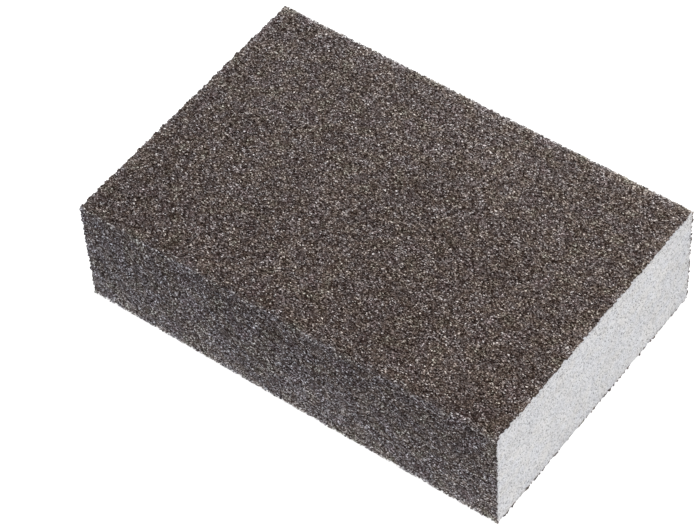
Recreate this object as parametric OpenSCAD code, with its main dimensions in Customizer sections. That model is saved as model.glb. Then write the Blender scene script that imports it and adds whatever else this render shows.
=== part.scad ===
// Sanding sponge: a foam block with abrasive grain bonded round its four long
// faces, cut to length so that the pale foam is bare at both ends.
//
// Frame: X along the length, Y across the width, Z up. The origin is the
// middle of the face that the block lies on.

/* [Block] */
// Length of the block, from one cut end to the other
block_length = 100; // [50:1:200]
// Width of the finished block, over the coat
block_width = 67.5; // [30:0.5:120]
// Thickness of the finished block, over the coat
block_thickness = 27.5; // [12:0.5:60]

/* [Foam core] */
// Radius that the foam's four long edges are softened to before coating
foam_edge_radius = 0.4; // [0.3:0.1:4]

/* [Abrasive coat] */
// Thickness of the coat, from the foam to the tips of the grain
coat_thickness = 0.5; // [0.2:0.05:1.5]

/* [Hidden] */

foam_width = block_width - 2 * coat_thickness;
foam_thickness = block_thickness - 2 * coat_thickness;
coat_edge_radius = foam_edge_radius + coat_thickness;

foam_colour = [0.83, 0.83, 0.84];
coat_colour = [0.38, 0.34, 0.33];

// Arc steps of the edge rounds, for the preview mesh
$fn = 48;

// Rectangle with round corners, centred on the origin.
module rounded_rectangle(width, height, radius) {
    square([width - 2 * radius, height], center = true);
    square([width, height - 2 * radius], center = true);
    for (side = [-1, 1], end = [-1, 1])
        translate([side * (width / 2 - radius), end * (height / 2 - radius)])
            circle(r = radius);
}

// Extrudes a cross-section drawn in Y and Z along the block's whole length,
// with the block lying on Z = 0.
module along_block() {
    translate([0, 0, block_thickness / 2])
        rotate([90, 0, 90])
            linear_extrude(height = block_length, center = true)
                children();
}

module foam_section() {
    rounded_rectangle(foam_width, foam_thickness, foam_edge_radius);
}

// The soft block itself. Both of its ends are cut faces and stay bare.
module foam_core() {
    color(foam_colour)
        along_block()
            foam_section();
}

// Grain and resin, one continuous skin. It goes round the four long faces and
// over the long edges at one thickness, and is cut flush with the foam's ends.
module abrasive_coat() {
    color(coat_colour)
        along_block()
            difference() {
                rounded_rectangle(block_width, block_thickness, coat_edge_radius);
                foam_section();
            }
}

foam_core();
abrasive_coat();
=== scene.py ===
"""Dresses the packed sanding sponge.

The foam core gets cut ends with open cells. The coat becomes a sleeve of resin round the four long
faces and thousands of single angular grains that stand in it. Everything is in metres, in the
frame's own axes: X along the block, Y across it and Z up from the face that it lies on.
"""
import math

import bpy
import numpy as np
from mathutils import Matrix, Vector


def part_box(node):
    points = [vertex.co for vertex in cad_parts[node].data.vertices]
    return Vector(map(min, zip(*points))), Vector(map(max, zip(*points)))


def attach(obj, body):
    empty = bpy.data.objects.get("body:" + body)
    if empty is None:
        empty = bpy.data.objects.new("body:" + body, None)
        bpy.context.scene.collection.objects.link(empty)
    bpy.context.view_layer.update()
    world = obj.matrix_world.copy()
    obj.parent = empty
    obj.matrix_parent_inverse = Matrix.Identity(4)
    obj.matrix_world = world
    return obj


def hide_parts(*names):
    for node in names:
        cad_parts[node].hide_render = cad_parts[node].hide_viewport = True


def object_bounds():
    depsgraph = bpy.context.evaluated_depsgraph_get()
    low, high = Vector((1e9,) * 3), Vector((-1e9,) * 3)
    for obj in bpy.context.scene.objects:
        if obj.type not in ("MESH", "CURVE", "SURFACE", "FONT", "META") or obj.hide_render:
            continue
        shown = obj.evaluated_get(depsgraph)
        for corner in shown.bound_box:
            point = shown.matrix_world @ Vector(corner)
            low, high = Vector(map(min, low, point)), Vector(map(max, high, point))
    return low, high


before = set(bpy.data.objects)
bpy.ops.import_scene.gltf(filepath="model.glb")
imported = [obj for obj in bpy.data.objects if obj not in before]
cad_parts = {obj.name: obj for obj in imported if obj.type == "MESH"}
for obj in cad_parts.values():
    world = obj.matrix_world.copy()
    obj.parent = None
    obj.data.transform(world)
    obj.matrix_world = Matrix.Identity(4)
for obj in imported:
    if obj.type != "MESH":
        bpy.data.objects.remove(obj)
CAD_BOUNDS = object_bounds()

MM = 0.001

# The camera, in the frame's axes. It looks down on the top, the front and the right end.
CAMERA_PLACE = Vector((0.2280, -0.2867, 0.4543))
CAMERA_AZIMUTH = math.radians(39.72)
CAMERA_ELEVATION = math.radians(50.43)
CAMERA_ROLL = math.radians(-4.07)
CAMERA_LENS_MM = 149.14
SENSOR_WIDTH_MM = 36.0

# The block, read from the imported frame
COAT_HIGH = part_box("abrasive_coat")[1]
FOAM_LOW, FOAM_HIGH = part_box("foam_core")
END_X = COAT_HIGH.x
COAT = COAT_HIGH.y - FOAM_HIGH.y
MIDDLE_Z = (FOAM_HIGH.z + FOAM_LOW.z) / 2

# The foam's section, as half sizes from its middle: its flats, and the whole with its round edges
FOAM_EDGE_RADIUS = 0.4 * MM
FLAT_Y = FOAM_HIGH.y - FOAM_EDGE_RADIUS
FLAT_Z = (FOAM_HIGH.z - FOAM_LOW.z) / 2 - FOAM_EDGE_RADIUS
FOAM_HALF_Y = FLAT_Y + FOAM_EDGE_RADIUS
FOAM_HALF_Z = FLAT_Z + FOAM_EDGE_RADIUS

# The four long faces, in order round the block. Each has half its flat width, the distance from
# the block's axis to where its edge rounds are centred, and the ways that it runs and looks.
AXIS_Y, AXIS_Z = np.array((0.0, 1.0, 0.0)), np.array((0.0, 0.0, 1.0))
FACES = {
    "top": (FLAT_Y, FLAT_Z, AXIS_Y, AXIS_Z),
    "back": (FLAT_Z, FLAT_Y, -AXIS_Z, AXIS_Y),
    "bottom": (FLAT_Y, FLAT_Z, -AXIS_Y, -AXIS_Z),
    "front": (FLAT_Z, FLAT_Y, AXIS_Z, -AXIS_Y),
}

# Below, a pair is a range that values are drawn from at random, unless its comment says otherwise.

# Unevenness of the coat's thickness and of where it ends: the shortest and longest waves in it, and
# the most that they take off
WAVE_COUNT = 16
COAT_WAVES = (1.2 * MM, 24 * MM)
COAT_WANDER = 0.18 * MM
END_WAVES = (0.6 * MM, 8 * MM)
END_WANDER = 0.18 * MM

# The coat's ends are also ragged, like coarse teeth: the width of each, the most that one is set
# in, and how near to a seam between faces there are none
TOOTH_PITCH = 0.46 * MM
TOOTH_INSET = 0.44 * MM
SEAM_WIDTH = 0.01 * MM

# Resin sleeve. The pitch is that of its points, along the block and across, and the jitter is how
# far they stray, as a share of the pitch. Heights are above the foam, and the rim's are at the
# block's ends.
RESIN_PITCH = (0.36 * MM, 0.22 * MM)
RESIN_JITTER = 0.33
RESIN_HEIGHT = (0.01 * MM, 0.20 * MM)
RESIN_RIM_HEIGHT = (0.02 * MM, 0.46 * MM)
RESIN_END_INSET = (0.01 * MM, 0.12 * MM)

# Grain. The stretch is along, across and out of the face. A tip's height is above the foam, and no
# grain's lowest corner is higher than the root height.
GRAIN_PITCH = 0.45 * MM
GRAIN_RADIUS = (0.11 * MM, 0.20 * MM)
GRAIN_STRETCH = (1.3, 0.8, 0.9)
GRAIN_TIP = (0.06 * MM, 0.28 * MM)
GRAIN_ROOT_HEIGHT = 0.10 * MM
GRAIN_END_INSET = (0.0, 0.20 * MM)

# What makes each grain's shape its own: how far its corners reach and shift, and how much longer
# it is each way, all as shares of its radius
CORNER_REACH = (0.8, 1.25)
CORNER_SHIFT = (-0.2, 0.2)
PROPORTIONS = (0.75, 1.2)

# Grains that stand proud, with their tips worn flat. There are more of them along the long edges.
# They are larger than the rest, along, across and out, and the waves in the coat lower them less.
PROUD_SHARE = 0.06
PROUD_EDGE_SHARE = 0.55
LONG_EDGE_WIDTH = 1.2 * MM
PROUD_SIZE = (1.9, 1.6, 2.2)
PROUD_TIP = (0.38 * MM, 0.50 * MM)
PROUD_WORN = 0.10 * MM
PROUD_WANDER = 0.3

# Tones run from 0, darkest, to 1, lightest. These are their middle and how much they spread.
RESIN_TONE = (0.285, 0.29)
GRAIN_TONE = (0.525, 0.30)

# For each face: how much lighter it is than the values above say, how much lighter still painted
# light makes it from its middle to its last edge, how much more its tones spread, how much lighter
# painted edge light makes its first and last edges, and how much painted light cools its colour at
# them, where more than 1 counts as 1
FACE_TONES = {
    "top": dict(lift=0.032, painted_light_slope=0.042, spread=0.98, wear_and_painted_edge_light=(0.03, 0.42), painted_cool_light=(0.0, 0.0)),
    "back": dict(lift=0.0, painted_light_slope=0.0, spread=1.25, wear_and_painted_edge_light=(0.42, 0.15), painted_cool_light=(0.0, 0.85)),
    "bottom": dict(lift=0.0, painted_light_slope=0.0, spread=1.0, wear_and_painted_edge_light=(0.15, 0.15), painted_cool_light=(0.0, 0.0)),
    "front": dict(lift=0.032, painted_light_slope=-0.08, spread=1.17, wear_and_painted_edge_light=(0.40, 0.17), painted_cool_light=(0.8, 1.2)),
}
# Painted edge light by the block's ends, and how soon all painted light at the edges fades
PAINTED_END_LIGHT = 0.18
PAINTED_EDGE_WIDTH = 0.8 * MM

# Foam. The cut ends are grids of points that stray by a share of their pitch. They lie behind the
# coat's ends, and deeper by each open cell and by a little roughness.
CUT_PITCH = 0.24 * MM
CUT_JITTER = 0.3
CUT_RECESS = 0.22 * MM
CUT_ROUGHNESS = 0.03 * MM
CELL_DEPTH = 0.30 * MM

# Open cells. Their middles, depths and reaches are drawn once into a square table, which repeats
# past the edge of the foam.
CELL_PITCH = 0.62 * MM
CELL_TABLE = 256
CELL_MIDDLE = (0.1, 0.9)
CELL_DEPTH_SHARE = (0.1, 1)
CELL_REACH = (0.3, 0.6)

# Painted shade: how much darker the foam is by the coat, and how soon that fades
RIM_SHADE = 0.24
RIM_SHADE_WIDTH = 0.9 * MM

# Shares of the UV maps. On the resin's, the skin has rims to its left and right, and what is
# hidden lies along the top. On the foam's, the two cut ends lie one above the other, each given by
# its middle, and the long sides lie along the top.
SKIN_FROM = 0.015
SKIN_SHARE = 0.97
HIDDEN_FROM = 0.98
CUT_MIDDLE = 0.5
CUT_HALF_WIDTH = 0.49
CUT_LEVELS = (0.22, 0.65)
CUT_HALF_HEIGHT = 0.20
SIDES_FROM = 0.9
SIDES_SHARE = 0.09

# Corners of a grain's triangle in its own cell of the map
CELL_CORNERS = np.array([(0.05, 0.05), (0.95, 0.05), (0.5, 0.95)])


def seeded(*name):
    """A random source of its own for each use, so that changing one leaves the others alone."""
    return np.random.default_rng([sum(str(part).encode()) for part in name])


# ---------------------------------------------------------------- places on the coat


def neighbours(face):
    """The faces before and after one, in their order round the block."""
    order = list(FACES)
    place = order.index(face)
    return order[place - 1], order[(place + 1) % len(order)]


def half_width(face):
    """From the middle of a face to its seam, which is the middle of its round edge."""
    return FACES[face][0] + math.pi / 4 * (FOAM_EDGE_RADIUS + COAT)


def wrap(face, along, across, height):
    """Points of the coat over one long face. across is measured round the coat's outer side from
    the middle of the face, and past the flat it goes round the edge. height is above the foam."""
    half_flat, out_flat, run, look = FACES[face]
    turn = np.maximum(np.abs(across) - half_flat, 0) / (FOAM_EDGE_RADIUS + COAT)
    radius = FOAM_EDGE_RADIUS + height
    sideways = np.clip(across, -half_flat, half_flat) + np.sign(across) * radius * np.sin(turn)
    outward = out_flat + radius * np.cos(turn)
    points = sideways[..., None] * run + outward[..., None] * look
    points[..., 0] = along
    points[..., 2] += MIDDLE_Z
    return points


def wander(points, lengths):
    """Waves over places on the block, from 0 to 1, with lengths between the two that are given.
    They run on from face to face."""
    rng = seeded("wander")
    ways = rng.normal(size=(3, WAVE_COUNT))
    lengths = np.geomspace(*lengths, WAVE_COUNT)
    ways *= 2 * math.pi / lengths / np.linalg.norm(ways, axis=0)
    waves = np.sin(points @ ways + rng.uniform(0, 2 * math.pi, WAVE_COUNT))
    # Two standard deviations either way fill the range.
    deviation = math.sqrt(WAVE_COUNT / 2)
    return np.clip(0.5 + waves.sum(-1) / (4 * deviation), 0, 1)


def end_inset(face, along, across):
    """How far the waves and teeth of the coat's end nearest to each place take it in. There are
    no teeth on the seams between faces, where neighbours have to agree."""
    reach = half_width(face)
    count = int(2 * reach / TOOTH_PITCH) + 1
    teeth = seeded("teeth", face).uniform(0, TOOTH_INSET, (2, count))
    side = (along > 0).astype(int)
    place = np.clip(((across + reach) / TOOTH_PITCH).astype(int), 0, count - 1)
    on_seam = np.abs(across) > reach - SEAM_WIDTH
    ends = wrap(face, END_X * np.sign(along), across, np.zeros(across.shape))
    return np.where(on_seam, 0, teeth[side, place]) + END_WANDER * wander(ends, END_WAVES)


def mixed_tones(rng, face, middle, spread, along, across):
    """Tones for the triangles of a face at the places given. They vary from one to the next, and
    carry painted light: a slope across the face and lighter edges. With them comes how much painted
    light cools each one's colour, which passes from one face to the next round their edge."""
    reach = half_width(face)
    own, before, after = (FACE_TONES[name] for name in (face, *neighbours(face)))
    at_first, at_last, at_end = (
        np.exp(-np.maximum(away, 0) / PAINTED_EDGE_WIDTH)
        for away in (across + reach, reach - across, END_X - np.abs(along))
    )
    # Painted light: a slope of lightness across the face, and lighter bands along its edges and
    # ends
    tones = middle + own["lift"] + own["painted_light_slope"] * across / reach
    tones += own["wear_and_painted_edge_light"][0] * at_first + own["wear_and_painted_edge_light"][1] * at_last + PAINTED_END_LIGHT * at_end
    tones += own["spread"] * spread * rng.normal(size=len(across))
    # Painted light of a cooler colour, from edge to edge of the face and on round its edges
    painted_cool_light = np.interp(across, (-reach, reach), own["painted_cool_light"])
    painted_cool_light += (before["painted_cool_light"][1] - own["painted_cool_light"][0]) / 2 * at_first
    painted_cool_light += (after["painted_cool_light"][0] - own["painted_cool_light"][1]) / 2 * at_last
    return np.clip(tones, 0, 1), painted_cool_light


# ---------------------------------------------------------------- meshes


def new_piece(name, points, triangles, uv, material):
    """A mesh object from arrays of points, triangles and UV places of each triangle's corners."""
    mesh = bpy.data.meshes.new(name)
    mesh.vertices.add(len(points))
    mesh.vertices.foreach_set("co", points.astype(np.float32).ravel())
    mesh.loops.add(triangles.size)
    mesh.loops.foreach_set("vertex_index", triangles.astype(np.int32).ravel())
    mesh.polygons.add(len(triangles))
    mesh.polygons.foreach_set("loop_start", np.arange(0, triangles.size, 3, dtype=np.int32))
    mesh.update(calc_edges=True)
    mesh.uv_layers.new(name="OFBake").uv.foreach_set("vector", uv.astype(np.float32).ravel())
    mesh.materials.append(material)
    piece = bpy.data.objects.new(name, mesh)
    bpy.context.scene.collection.objects.link(piece)
    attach(piece, "root")
    return piece


def write_values(piece, name, domain, values):
    """Gives each triangle or point of a piece a value, which its material can read by name."""
    layer = piece.data.attributes.new(name, "FLOAT", domain)
    layer.data.foreach_set("value", values.astype(np.float32))


def grid_triangles(rows, columns):
    """Triangles between the points of a grid whose odd rows are set over by half a step."""
    index = np.arange(rows * columns).reshape(rows, columns)
    a, b, c, d = index[:-1, :-1], index[:-1, 1:], index[1:, :-1], index[1:, 1:]
    leaning = (np.arange(rows - 1) % 2 == 0)[:, None]
    first = np.where(leaning[..., None], np.stack([a, b, c], -1), np.stack([a, b, d], -1))
    second = np.where(leaning[..., None], np.stack([b, d, c], -1), np.stack([a, d, c], -1))
    return np.concatenate([first.reshape(-1, 3), second.reshape(-1, 3)])


def ribbon(one, other):
    """Triangles between two lines of as many points."""
    quads = np.stack([one[:-1], one[1:], other[1:], other[:-1]], 1)
    return np.concatenate([quads[:, [0, 1, 2]], quads[:, [0, 2, 3]]])


def fan(first, line, last):
    """Triangles from one point to a line of points, and on to a last point."""
    line = np.append(line, last)
    return np.stack([np.full(len(line) - 1, first), line[:-1], line[1:]], 1)


# ---------------------------------------------------------------- resin sleeve


def resin_row(rng, row):
    """Places along the block, and heights, of one row of the resin's points. Its two ends are set
    in at random, before the waves and teeth of the coat's ends are taken off."""
    columns = int(round(2 * END_X / RESIN_PITCH[0])) + 1
    step = 2 * END_X / (columns - 1)
    along = np.linspace(-END_X, END_X, columns) + (row % 2) * step / 2
    along += rng.uniform(-RESIN_JITTER, RESIN_JITTER, columns) * step
    reach = END_X - rng.uniform(*RESIN_END_INSET, 2)
    along = np.clip(along, -reach[0], reach[1])
    along[[0, -1]] = -reach[0], reach[1]
    height = rng.uniform(*RESIN_HEIGHT, columns)
    height[[0, -1]] = rng.uniform(*RESIN_RIM_HEIGHT, 2)
    return along, height


def resin_grid(rng, face):
    """Places along and across one long face, and heights, of the resin's outer points. The first
    and last rows lie on the seams and are the same as the neighbours'."""
    reach = half_width(face)
    rows = 2 * int(round(reach / RESIN_PITCH[1])) + 1
    made = [resin_row(rng, row) for row in range(rows)]
    made[0] = resin_row(seeded("seam", neighbours(face)[0]), 0)
    made[-1] = resin_row(seeded("seam", face), 0)
    along, height = np.array(made).transpose(1, 0, 2)
    columns = along.shape[1]
    level = np.linspace(-reach, reach, rows)[:, None]
    across = np.repeat(level, columns, 1)
    across[1:-1] += rng.uniform(-RESIN_JITTER, RESIN_JITTER, (rows - 2, columns)) * RESIN_PITCH[1]
    across[:, [0, -1]] = level
    along = np.sign(along) * np.minimum(np.abs(along), END_X - end_inset(face, along, across))
    waves = wander(wrap(face, along, across, height), COAT_WAVES)
    height[:, 1:-1] *= 1 - COAT_WANDER / RESIN_HEIGHT[1] * waves[:, 1:-1]
    return along, across, height


def with_feet(along, across, height):
    """Lists the places and heights of a grid's points, and after them those of feet on the foam:
    one below each end of every row, and one below each point of the rows on the seams. Also gives
    the feet's numbers, where the grid has them, and -1 elsewhere."""
    below = np.zeros(along.shape, bool)
    below[[0, -1]] = True
    below[:, [0, -1]] = True
    feet = along.copy()
    feet[[0, -1]] = np.linspace(along[[0, -1], 0], along[[0, -1], -1], along.shape[1], axis=1)
    foot = np.full(along.shape, -1)
    foot[below] = along.size + np.arange(below.sum())
    along = np.append(along.ravel(), feet[below])
    across = np.append(across.ravel(), across[below])
    height = np.append(height.ravel(), np.zeros(below.sum()))
    return along, across, height, foot


def shell_triangles(foot):
    """Triangles of a closed shell over a grid of points with feet: what can be seen, which is the
    skin and the rims at the block's ends, and what is hidden, which is the walls and underside."""
    index = np.arange(foot.size).reshape(foot.shape)
    left, right = foot[:, 0], foot[:, -1]
    seen = np.concatenate([
        grid_triangles(*foot.shape),
        ribbon(index[:, 0], left),
        ribbon(right, index[:, -1]),
    ])
    hidden = np.concatenate([
        ribbon(left[1:-1], right[1:-1]),
        ribbon(foot[0], index[0]),
        ribbon(index[-1], foot[-1]),
        fan(left[1], foot[0], right[1])[:, ::-1],
        fan(left[-2], foot[-1], right[-2]),
    ])
    return seen, hidden


def resin_over(face, material):
    """A closed shell of resin over one long face, from one seam to the next."""
    rng = seeded("resin", face)
    along, across, height, foot = with_feet(*resin_grid(rng, face))
    seen, hidden = shell_triangles(foot)
    triangles = np.concatenate([seen, hidden])

    reach = half_width(face)
    uv = np.stack([
        SKIN_FROM + SKIN_SHARE * (along + END_X) / (2 * END_X),
        SKIN_SHARE * (across + reach) / (2 * reach),
    ], -1)
    uv[foot[:, 0], 0], uv[foot[:, -1], 0] = 0.0, 1.0
    corners = uv[triangles]
    corners[len(seen):, :, 1] = HIDDEN_FROM + (1 - HIDDEN_FROM) * corners[len(seen):, :, 1]

    points = wrap(face, along, across, height)
    piece = new_piece(f"resin_{face}", points, triangles, corners, material)
    middle_x, middle_y = along[triangles].mean(1), across[triangles].mean(1)
    tones, painted_cool_light = mixed_tones(rng, face, *RESIN_TONE, middle_x, middle_y)
    # The tones carry painted edge light and a painted slope of light, and the next values painted
    # cooler light
    write_values(piece, "tone", "FACE", tones)
    write_values(piece, "painted_cool_light", "FACE", painted_cool_light)
    return piece


# ---------------------------------------------------------------- grain

# A shard with four points and four sides, before each grain gets its own proportions
SHARD = np.array([(1, 1, 1), (1, -1, -1), (-1, 1, -1), (-1, -1, 1)]) / math.sqrt(3)
SHARD_SIDES = np.array([(0, 1, 2), (0, 3, 1), (0, 2, 3), (1, 3, 2)])


def turned(rng, shapes):
    """Each shape turned at random about its own middle."""
    q = rng.normal(size=(len(shapes), 4))
    w, x, y, z = (q / np.linalg.norm(q, axis=1, keepdims=True)).T
    turn = np.array([
        [1 - 2 * (y * y + z * z), 2 * (x * y - z * w), 2 * (x * z + y * w)],
        [2 * (x * y + z * w), 1 - 2 * (x * x + z * z), 2 * (y * z - x * w)],
        [2 * (x * z - y * w), 2 * (y * z + x * w), 1 - 2 * (x * x + y * y)],
    ])
    return np.einsum("ijn,nkj->nki", turn, shapes)


def grain_shapes(rng, count):
    """Angular grains about the origin, each with its own size, proportions and chipped corners."""
    shapes = SHARD * rng.uniform(*CORNER_REACH, (count, len(SHARD), 1))
    shapes += rng.uniform(*CORNER_SHIFT, (count, len(SHARD), 3))
    shapes *= rng.uniform(*PROPORTIONS, (count, 1, 3))
    return turned(rng, shapes) * GRAIN_STRETCH * rng.uniform(*GRAIN_RADIUS, (count, 1, 1))


def kept_in(rng, along, face, across):
    """Moves the grains that reach past the coat's ragged ends back in, each as a whole."""
    inset = rng.uniform(*GRAIN_END_INSET, len(along)) + end_inset(face, along[:, :1], across)[:, 0]
    limit = END_X - inset
    back = np.minimum(limit - along.max(1), 0) + np.maximum(-limit - along.min(1), 0)
    return along + back[:, None]


def cells_by_tone(tones):
    """UV corners that give every triangle a small cell of its own, in order of tone, so that
    neighbours on the map look alike and a bake of it stays true however small they are."""
    side = math.ceil(math.sqrt(len(tones)))
    place = np.empty(len(tones), int)
    place[np.argsort(tones)] = np.arange(len(tones))
    row, column = place // side, place % side
    column = np.where(row % 2, side - 1 - column, column)
    return (np.stack([column, row], 1)[:, None] + CELL_CORNERS) / side


def grain_over(face, material):
    """The grains of one long face, one in each cell of a grid. Each is rooted in the resin, and
    its tip is no higher than the coat's outer side."""
    rng = seeded("grain", face)
    reach = half_width(face)
    columns, rows = int(2 * END_X / GRAIN_PITCH), int(2 * reach / GRAIN_PITCH)
    count = columns * rows
    cell = np.stack([np.arange(count) % columns, np.arange(count) // columns], 1)
    spot = (cell + rng.uniform(0, 1, (count, 2))) / (columns, rows)
    along, across = (2 * spot[:, :1] - 1) * END_X, (2 * spot[:, 1:] - 1) * reach

    by_edge = reach - np.abs(across[:, 0]) < LONG_EDGE_WIDTH
    proud = rng.uniform(0, 1, count) < np.where(by_edge, PROUD_EDGE_SHARE, PROUD_SHARE)
    shapes = grain_shapes(rng, count) * np.where(proud[:, None, None], PROUD_SIZE, 1)
    top, bottom = shapes[:, :, 2].max(1), shapes[:, :, 2].min(1)
    sunk = COAT_WANDER * wander(wrap(face, along, across, np.zeros((count, 1))), COAT_WAVES)
    tip = np.where(proud, rng.uniform(*PROUD_TIP, count), rng.uniform(*GRAIN_TIP, count))
    tip -= sunk[:, 0] * np.where(proud, PROUD_WANDER, 1)
    # How much is taken off the proud grains' tips, which wear has made flat
    wear_and_painted_edge_light = np.where(proud, PROUD_WORN, 0)
    tip = np.minimum(tip, top - bottom + GRAIN_ROOT_HEIGHT - wear_and_painted_edge_light)
    height = np.minimum(shapes[:, :, 2] + (tip - top + wear_and_painted_edge_light)[:, None], tip[:, None])
    along = kept_in(rng, along + shapes[:, :, 0], face, across)

    points = wrap(face, along, across + shapes[:, :, 1], height).reshape(-1, 3)
    triangles = (SHARD_SIDES + len(SHARD) * np.arange(count)[:, None, None]).reshape(-1, 3)
    middle_x, middle_y = (np.repeat(at, len(SHARD_SIDES)) for at in (along.mean(1), across[:, 0]))
    tones, painted_cool_light = mixed_tones(rng, face, *GRAIN_TONE, middle_x, middle_y)
    piece = new_piece(f"grain_{face}", points, triangles, cells_by_tone(tones), material)
    # The tones carry painted edge light and a painted slope of light, and the next values painted
    # cooler light
    write_values(piece, "tone", "FACE", tones)
    write_values(piece, "painted_cool_light", "FACE", painted_cool_light)
    return piece


# ---------------------------------------------------------------- foam


def cell_depth(across, up, end):
    """How deep the open cells are at places on one of the cut ends, from 0 to 1."""
    grid = np.stack([across, up], -1) / CELL_PITCH
    home = np.floor(grid).astype(int)
    rng = seeded("cells", end)
    middle = rng.uniform(*CELL_MIDDLE, (CELL_TABLE, CELL_TABLE, 2))
    depth = rng.uniform(*CELL_DEPTH_SHARE, (CELL_TABLE, CELL_TABLE))
    reach = rng.uniform(*CELL_REACH, (CELL_TABLE, CELL_TABLE))
    deepest = np.zeros(across.shape)
    for step_y in (-1, 0, 1):
        for step_z in (-1, 0, 1):
            cell = home + (step_y, step_z)
            at = cell[..., 0] % CELL_TABLE, cell[..., 1] % CELL_TABLE
            away = np.linalg.norm(cell + middle[at] - grid, axis=-1)
            bowl = np.clip(1 - (away / reach[at]) ** 2, 0, 1)
            deepest = np.maximum(deepest, depth[at] * bowl)
    return deepest


def into_round(across, up):
    """Moves places that lie outside the foam's round edges onto them."""
    past_y, past_z = np.abs(across) - FLAT_Y, np.abs(up) - FLAT_Z
    corner = (past_y > 0) & (past_z > 0)
    away = np.hypot(past_y, past_z)
    outside = corner & (away > FOAM_EDGE_RADIUS)
    pull = np.where(outside, FOAM_EDGE_RADIUS / np.where(outside, away, 1), 1)
    new_y = np.sign(across) * np.where(corner, FLAT_Y + past_y * pull, np.abs(across))
    new_z = np.sign(up) * np.where(corner, FLAT_Z + past_z * pull, np.abs(up))
    return new_y, new_z


def cut_end(rng, across, up, end):
    """Points, shades and UV places of the foam's left or right end, 0 or 1, from a grid of places
    on it. Only the grid's inner points stray."""
    inside = np.zeros(across.shape, bool)
    inside[1:-1, 1:-1] = True
    y = across + inside * rng.uniform(-CUT_JITTER, CUT_JITTER, across.shape) * CUT_PITCH
    z = up + inside * rng.uniform(-CUT_JITTER, CUT_JITTER, across.shape) * CUT_PITCH
    y, z = into_round(y, z)
    depth = cell_depth(y, z, end)
    recess = CUT_RECESS + depth * CELL_DEPTH + rng.uniform(0, CUT_ROUGHNESS, depth.shape)
    x = (-1, 1)[end] * (END_X - recess)
    points = np.stack([x, y, z + MIDDLE_Z], -1)
    to_rim = np.minimum(FOAM_HALF_Y - np.abs(y), FOAM_HALF_Z - np.abs(z))
    # Painted shade: darker down in the open cells and near the coat's rim
    shade = depth + RIM_SHADE * np.exp(-to_rim / RIM_SHADE_WIDTH)
    uv = np.stack([
        CUT_MIDDLE + CUT_HALF_WIDTH * y / FOAM_HALF_Y,
        CUT_LEVELS[end] + CUT_HALF_HEIGHT * z / FOAM_HALF_Z,
    ], -1)
    return points.reshape(-1, 3), shade.ravel(), uv.reshape(-1, 2)


def foam_block(material):
    """The foam core as one closed mesh: two cut ends with open cells, and plain long sides."""
    columns = int(round(2 * FOAM_HIGH.y / CUT_PITCH)) + 1
    rows = int(round((FOAM_HIGH.z - FOAM_LOW.z) / CUT_PITCH)) + 1
    across, up = np.meshgrid(
        np.linspace(-FOAM_HALF_Y, FOAM_HALF_Y, columns),
        np.linspace(-FOAM_HALF_Z, FOAM_HALF_Z, rows),
    )
    rng = seeded("foam")
    left, right = (cut_end(rng, across, up, end) for end in (0, 1))
    points, shade, uv = (np.concatenate(pair) for pair in zip(left, right))

    skin = grid_triangles(rows, columns)
    index = np.arange(rows * columns).reshape(rows, columns)
    rim = np.concatenate([index[0, :-1], index[:-1, -1], index[-1, :0:-1], index[:0:-1, 0]])
    rim = np.append(rim, rim[0])
    sides = ribbon(rim, rim + index.size)
    triangles = np.concatenate([skin[:, ::-1], skin + index.size, sides])
    corners = uv[triangles]
    corners[-len(sides):, :, 1] = SIDES_FROM + SIDES_SHARE * (points[sides, 0] > 0)

    piece = new_piece("foam_block", points, triangles, corners, material)
    write_values(piece, "shade", "POINT", shade)
    piece.data.shade_smooth()
    return piece


# ---------------------------------------------------------------- materials

# Noise by itself hardly leaves this range
NOISE_RANGE = (0.3, 0.7)

# Kinds of noise, as patches per metre and octaves of finer detail in them
GRIT_SPECKLE = (3200, 0)
GRIT_BUMP = (4500, 2)
HUE_NOISE = (290, 2)
SHADE_NOISE = (60, 2)
FOAM_SPECKLE = (4200, 2)
FOAM_HUE_NOISE = (330, 2)
FOAM_SHADE_NOISE = (120, 2)

# Colours of resin and grain, by tone
GRIT_STOPS = [
    (0.0, (0.013, 0.008, 0.0065)),
    (0.25, (0.048, 0.033, 0.028)),
    (0.5, (0.126, 0.100, 0.092)),
    (0.75, (0.320, 0.277, 0.262)),
    (1.0, (0.73, 0.685, 0.668)),
]

# What the coat's colour is multiplied by: from one end of the block to the other, from the broad
# faces to the sides, which painted light makes cooler, and in small patches from olive to violet
HUE_DRIFT = [(0.0, (0.966, 0.972, 0.996)), (1.0, (0.992, 0.970, 0.960))]
PAINTED_COOL_LIGHT_HUES = [(0.0, (1.0, 1.0, 1.0)), (1.0, (0.930, 0.988, 1.075))]
HUE_PATCHES = [
    (0.30, (0.965, 1.0, 0.90)),
    (0.43, (1.0, 0.97, 0.92)),
    (0.57, (0.95, 0.975, 1.0)),
    (0.70, (0.985, 0.945, 0.985)),
]

# How much darker and lighter the coat gets from speckle to speckle and over broad patches
GRIT_SPECKLE_LIGHT = (0.53, 1.47)
SHADE_LIGHT = (0.93, 1.13)
GRIT_BUMP_DEPTH = 0.02 * MM
BUMP_STRENGTH = 0.5

# Foam: its colour by painted shade, what that is multiplied by in small patches, and how much
# darker and lighter it gets from speckle to speckle, over broad patches and from inside its finest
# holes, which are painted shade, to between them. A hole's edge lies between two distances from its
# middle, in parts of a patch.
FOAM_STOPS = [(0.0, (0.733, 0.728, 0.744)), (1.0, (0.41, 0.405, 0.424))]
FOAM_HUES = [(0.35, (1.0, 0.99, 0.965)), (0.65, (0.975, 0.985, 1.0))]
FOAM_SPECKLE_LIGHT = (0.82, 1.12)
FOAM_SHADE_LIGHT = (0.955, 1.055)
HOLES_PER_METRE = 2200
HOLE_EDGE = (0.05, 0.42)
HOLE_LIGHT = (0.14, 1.08)
FOAM_ROUGHNESS = (0.8, 0.95)
FOAM_BUMP_DEPTH = 0.05 * MM


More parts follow.
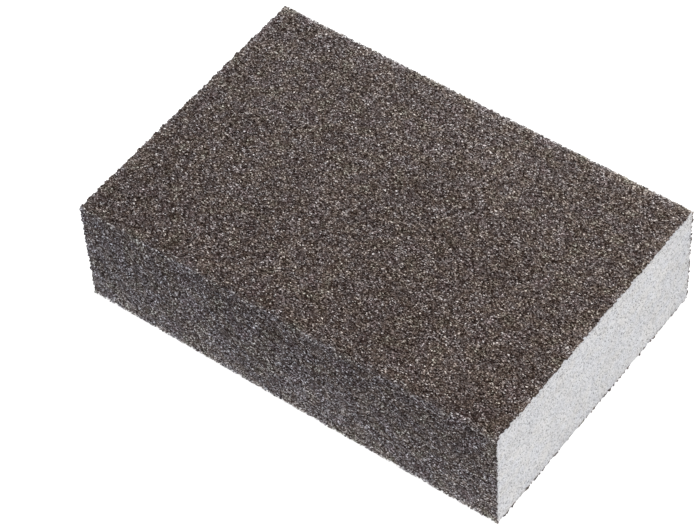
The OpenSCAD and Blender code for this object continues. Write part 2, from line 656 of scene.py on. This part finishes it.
class Nodes:
    """A short way to write a material's nodes."""

    def __init__(self, name):
        self.material = bpy.data.materials.new(name)
        self.material.use_nodes = True
        self.tree = self.material.node_tree
        self.shader = self.tree.nodes["Principled BSDF"]

    def add(self, kind, inputs=(), **settings):
        """Adds a node. inputs maps its sockets to numbers or to other nodes' outputs."""
        node = self.tree.nodes.new(kind)
        for key, value in settings.items():
            setattr(node, key, value)
        for socket, value in dict(inputs).items():
            self.put(node.inputs[socket], value)
        return node

    def put(self, socket, value):
        """Links another node's output to a socket, or sets it to a number."""
        if isinstance(value, bpy.types.NodeSocket):
            self.tree.links.new(value, socket)
        else:
            socket.default_value = value

    def object_place(self):
        return self.add("ShaderNodeTexCoord").outputs["Object"]

    def place_along(self):
        return self.add("ShaderNodeSeparateXYZ", {"Vector": self.object_place()}).outputs["X"]

    def attribute(self, name):
        return self.add("ShaderNodeAttribute", attribute_name=name).outputs["Fac"]

    def noise(self, scale, detail):
        """Noise over the object, with scale in patches per metre."""
        inputs = {"Vector": self.object_place(), "Scale": scale, "Detail": detail}
        return self.add("ShaderNodeTexNoise", inputs).outputs["Fac"]

    def cells(self, scale):
        """How far each place is from the nearest of many scattered points, about 0 to 0.7."""
        inputs = {"Vector": self.object_place(), "Scale": scale}
        return self.add("ShaderNodeTexVoronoi", inputs).outputs["Distance"]

    def fit(self, value, old, new):
        """A value moved from one range to another, and kept within it."""
        inputs = {
            "Value": value,
            "From Min": old[0], "From Max": old[1],
            "To Min": new[0], "To Max": new[1],
        }
        return self.add("ShaderNodeMapRange", inputs).outputs["Result"]

    def maths(self, operation, a, b):
        return self.add("ShaderNodeMath", {0: a, 1: b}, operation=operation).outputs[0]

    def ramp(self, value, stops):
        """Colours by value. stops are pairs of a place from 0 to 1 and a colour."""
        node = self.add("ShaderNodeValToRGB", {"Fac": value})
        elements = node.color_ramp.elements
        while len(elements) < len(stops):
            elements.new(0.5)
        for element, (place, colour) in zip(elements, stops):
            element.position, element.color = place, (*colour, 1)
        return node.outputs["Color"]

    def times(self, colour, other):
        """One colour times another."""
        node = self.add("ShaderNodeVectorMath", {0: colour, 1: other}, operation="MULTIPLY")
        return node.outputs["Vector"]

    def scaled(self, colour, factor):
        """A colour times a number."""
        node = self.add("ShaderNodeVectorMath", {0: colour, "Scale": factor}, operation="SCALE")
        return node.outputs["Vector"]

    def bump(self, height, distance):
        inputs = {"Height": height, "Distance": distance, "Strength": BUMP_STRENGTH}
        return self.add("ShaderNodeBump", inputs).outputs["Normal"]

    def finish(self, colour, fine, roughness, bump_depth):
        """Links the colour, and the roughness and bump that go by the same fine noise."""
        self.put(self.shader.inputs["Base Color"], colour)
        self.put(self.shader.inputs["Roughness"], self.fit(fine, NOISE_RANGE, roughness))
        self.put(self.shader.inputs["Normal"], self.bump(fine, bump_depth))
        return self.material


def mottled(nodes, colour):
    """A colour that drifts over the coat, in brightness and between warmer and cooler, and that
    painted light makes cooler on the sides.
    """
    along = nodes.fit(nodes.place_along(), (-END_X, END_X), (0, 1))
    colour = nodes.times(colour, nodes.ramp(along, HUE_DRIFT))
    # Painted light of a cooler colour on the sides
    colour = nodes.times(colour, nodes.ramp(nodes.attribute("painted_cool_light"), PAINTED_COOL_LIGHT_HUES))
    colour = nodes.times(colour, nodes.ramp(nodes.noise(*HUE_NOISE), HUE_PATCHES))
    return nodes.scaled(colour, nodes.fit(nodes.noise(*SHADE_NOISE), NOISE_RANGE, SHADE_LIGHT))


def grit_material(name, roughness, specular):
    """Mineral or resin whose colour goes by each triangle's tone, which carries painted light at
    the edges and across the faces.
    """
    nodes = Nodes(name)
    speckle = nodes.fit(nodes.noise(*GRIT_SPECKLE), NOISE_RANGE, GRIT_SPECKLE_LIGHT)
    colour = nodes.scaled(nodes.ramp(nodes.attribute("tone"), GRIT_STOPS), speckle)
    nodes.shader.inputs["Specular IOR Level"].default_value = specular
    return nodes.finish(mottled(nodes, colour), nodes.noise(*GRIT_BUMP), roughness, GRIT_BUMP_DEPTH)


def foam_material():
    """Pale foam, with painted shade down in its open cells, in its finest holes and near the coat.
    """
    nodes = Nodes("foam")
    fine = nodes.noise(*FOAM_SPECKLE)
    colour = nodes.ramp(nodes.attribute("shade"), FOAM_STOPS)
    colour = nodes.times(colour, nodes.ramp(nodes.noise(*FOAM_HUE_NOISE), FOAM_HUES))
    for light in (
        nodes.fit(fine, NOISE_RANGE, FOAM_SPECKLE_LIGHT),
        nodes.fit(nodes.noise(*FOAM_SHADE_NOISE), NOISE_RANGE, FOAM_SHADE_LIGHT),
        # Painted shade inside the finest holes
        nodes.fit(nodes.cells(HOLES_PER_METRE), HOLE_EDGE, HOLE_LIGHT),
    ):
        colour = nodes.scaled(colour, light)
    return nodes.finish(colour, fine, FOAM_ROUGHNESS, FOAM_BUMP_DEPTH)


# ---------------------------------------------------------------- stage, light and camera

WHITE = (1, 1, 1, 1)
WORLD_LIGHT = 0.42
LAMPS = {
    # name: azimuth and elevation in degrees, light that it adds, width and distance in metres
    "key": (75.0, 62.0, 0.42, 0.40, 1.2),
    "front_fill": (-35.0, 32.0, 0.46, 0.50, 1.3),
    "end_fill": (105.0, 22.0, 0.225, 0.50, 1.3),
}
FLOOR_HALF = 3.0
FLOOR_COLOUR = (0.62, 0.62, 0.62, 1.0)
FLOOR_GLOW = 0.72
FLOOR_ROUGHNESS = 0.9


def towards(azimuth, elevation):
    """The direction of a place seen from the block: azimuth 0 is in front and 90 at the right."""
    level = math.cos(elevation)
    return Vector((
        math.sin(azimuth) * level, -math.cos(azimuth) * level, math.sin(elevation),
    ))


def add_lamp(name, azimuth, elevation, light, width, distance):
    """A square lamp that lights a surface facing it to the given share of white."""
    lamp = bpy.data.lights.new(name, "AREA")
    lamp.size = width
    lamp.energy = light * (math.pi * distance) ** 2
    holder = bpy.data.objects.new(name, lamp)
    way = towards(math.radians(azimuth), math.radians(elevation))
    holder.location = way * distance
    holder.rotation_euler = way.to_track_quat("Z", "Y").to_euler()
    bpy.context.scene.collection.objects.link(holder)


def seen_directly(tree):
    """A number that is 1 for the camera's own rays and for those that gloss or glass sends on."""
    path = tree.nodes.new("ShaderNodeLightPath")
    total = path.outputs["Is Camera Ray"]
    for name in ("Is Glossy Ray", "Is Transmission Ray"):
        more = tree.nodes.new("ShaderNodeMath")
        more.operation = "MAXIMUM"
        tree.links.new(total, more.inputs[0])
        tree.links.new(path.outputs[name], more.inputs[1])
        total = more.outputs[0]
    return total


def add_world():
    """Even light from all round, which the camera sees as white."""
    world = bpy.data.worlds.new("studio")
    world.use_nodes = True
    tree = world.node_tree
    strength = tree.nodes.new("ShaderNodeMapRange")
    strength.inputs["To Min"].default_value = WORLD_LIGHT
    strength.inputs["To Max"].default_value = 1.0
    tree.links.new(seen_directly(tree), strength.inputs["Value"])
    background = tree.nodes["Background"]
    background.inputs["Color"].default_value = WHITE
    tree.links.new(strength.outputs["Result"], background.inputs["Strength"])
    bpy.context.scene.world = world


def floor_material():
    """A pale floor that shows white, and a little less than white where the block shades it."""
    nodes = Nodes("floor")
    nodes.shader.inputs["Base Color"].default_value = FLOOR_COLOUR
    nodes.shader.inputs["Roughness"].default_value = FLOOR_ROUGHNESS
    nodes.shader.inputs["Emission Color"].default_value = WHITE
    glow = nodes.maths("MULTIPLY", seen_directly(nodes.tree), FLOOR_GLOW)
    nodes.put(nodes.shader.inputs["Emission Strength"], glow)
    return nodes.material


def add_floor():
    """A square floor at the height of the face that the block lies on."""
    corners = [
        (-FLOOR_HALF, -FLOOR_HALF), (FLOOR_HALF, -FLOOR_HALF),
        (FLOOR_HALF, FLOOR_HALF), (-FLOOR_HALF, FLOOR_HALF),
    ]
    mesh = bpy.data.meshes.new("floor")
    mesh.from_pydata([(x, y, CAD_BOUNDS[0].z) for x, y in corners], [], [(0, 1, 2, 3)])
    mesh.materials.append(floor_material())
    floor = bpy.data.objects.new("floor", mesh)
    bpy.context.scene.collection.objects.link(floor)


def add_camera():
    """The camera, turned round Z, tilted down and rolled."""
    data = bpy.data.cameras.new("camera")
    data.lens, data.sensor_width = CAMERA_LENS_MM, SENSOR_WIDTH_MM
    camera = bpy.data.objects.new("camera", data)
    turn = (
        Matrix.Rotation(CAMERA_AZIMUTH, 4, "Z")
        @ Matrix.Rotation(math.pi / 2 - CAMERA_ELEVATION, 4, "X")
        @ Matrix.Rotation(CAMERA_ROLL, 4, "Z")
    )
    camera.matrix_world = Matrix.Translation(CAMERA_PLACE) @ turn
    bpy.context.scene.collection.objects.link(camera)
    bpy.context.scene.camera = camera


def add_stage():
    """Camera, lights, floor and how colours are shown."""
    add_camera()
    add_world()
    for name, settings in LAMPS.items():
        add_lamp(name, *settings)
    add_floor()
    bpy.context.scene.view_settings.view_transform = "Standard"


def add_sponge():
    """The foam block and the coat's pieces, each in place of the node that it stands for."""
    foam = foam_block(foam_material())
    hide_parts("foam_core")
    resin = grit_material("resin", roughness=(0.5, 0.7), specular=0.01)
    grain = grit_material("grain", roughness=(0.22, 0.45), specular=0.06)
    for face in FACES:
        for piece in (resin_over(face, resin), grain_over(face, grain)):
            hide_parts("abrasive_coat")


add_stage()
add_sponge()
